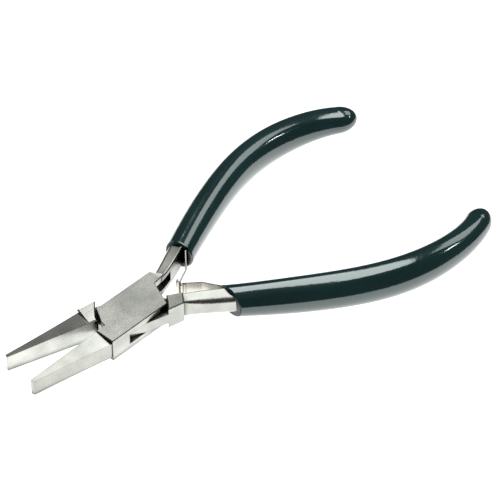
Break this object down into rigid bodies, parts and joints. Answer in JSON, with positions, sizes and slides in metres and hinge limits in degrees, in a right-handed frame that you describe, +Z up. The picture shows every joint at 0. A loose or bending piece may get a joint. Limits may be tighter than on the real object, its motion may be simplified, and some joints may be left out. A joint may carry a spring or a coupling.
{
  "type": "flat nose pliers",
  "caption": "Small flat nose jewellery pliers with a box joint, smooth tapered flat jaws, leaf springs that hold them open and curved sleeved handles.",
  "frame": {"origin": "on the pivot's axis, in the joint's lower face", "axes": "+X from the pivot to the handles along the centreline, +Z up through the joint, +Y to the box arm's handle"},
  "size_m": [0.1277, 0.069, 0.011],
  "materials": {
    "steel": "satin, fine lengthwise grinding",
    "pin_steel": "satin, ground flush",
    "spring_steel": "bright spring strip",
    "grip": "glossy dipped PVC, dark green"
  },
  "bodies": {
    "box_arm": {"box_arm": "steel", "pivot_pin": "pin_steel", "box_arm_grip": "grip", "box_arm_spring_leg": "spring_steel", "box_arm_spring_rivet": "pin_steel"},
    "inner_arm": {"inner_arm": "steel", "inner_arm_grip": "grip", "inner_arm_spring_leg": "spring_steel", "inner_arm_spring_rivet": "pin_steel"},
    "box_arm_leaf": {"box_arm_spring_leaf": "spring_steel"},
    "inner_arm_leaf": {"inner_arm_spring_leaf": "spring_steel"}
  },
  "joints": [
    {"name": "pivot", "type": "hinge", "parent": "box_arm", "child": "inner_arm", "pos_m": [0, 0, 0.0032], "axis": [0, 0, 1], "range_deg": [0, 16.5], "stiffness_Nm_per_rad": 0.8, "springref_deg": -3.44},
    {"name": "box_arm_leaf_bend", "type": "hinge", "parent": "box_arm", "child": "box_arm_leaf", "pos_m": [0.02304, 0.00834, 0.0032], "axis": [0, 0, 1], "range_deg": [-13.5, 0]},
    {"name": "inner_arm_leaf_bend", "type": "hinge", "parent": "inner_arm", "child": "inner_arm_leaf", "pos_m": [0.02304, -0.00834, 0.0032], "axis": [0, 0, 1], "range_deg": [0, 13.5]}
  ],
  "couplings": [
    {"joint": "box_arm_leaf_bend", "follows": "pivot", "ratio": -0.81},
    {"joint": "inner_arm_leaf_bend", "follows": "pivot", "ratio": 0.81}
  ]
}
